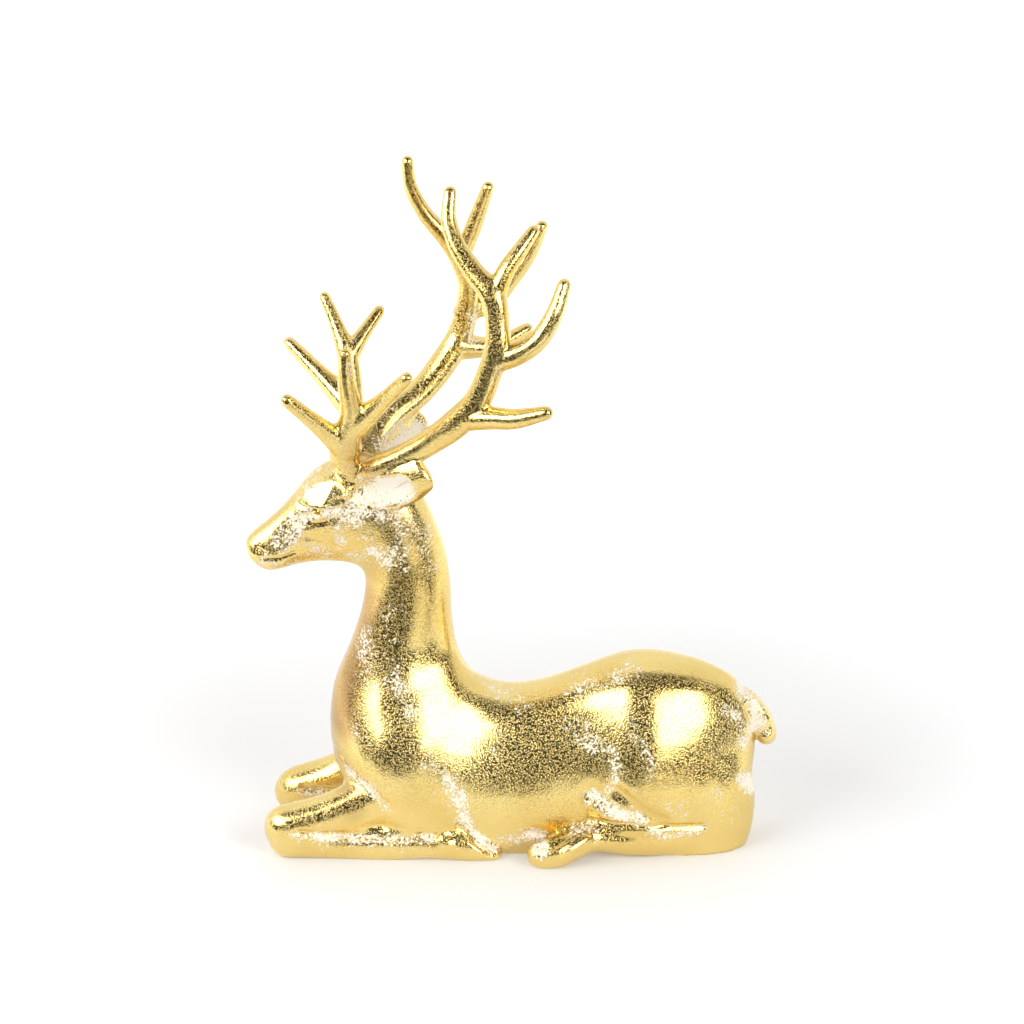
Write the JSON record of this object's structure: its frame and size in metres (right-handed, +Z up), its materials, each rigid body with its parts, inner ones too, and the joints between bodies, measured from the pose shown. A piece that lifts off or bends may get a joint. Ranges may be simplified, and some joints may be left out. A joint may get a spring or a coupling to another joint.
{
  "type": "reclining stag figurine",
  "caption": "Resin figurine of a stag lying with folded legs and raised head, with tall branching antlers, in worn gold leaf over white.",
  "frame": {"origin": "middle of the figure's box, on the flat underside", "axes": "+Z up, the stag's nose towards -X, its left side towards -Y"},
  "size_m": [0.1911, 0.0841, 0.25],
  "materials": {
    "gold_leaf": "worn gold leaf over a white ground, softly burnished with a fine grain"
  },
  "bodies": {
    "root": {"stag_figure": "gold_leaf"}
  },
  "joints": []
}
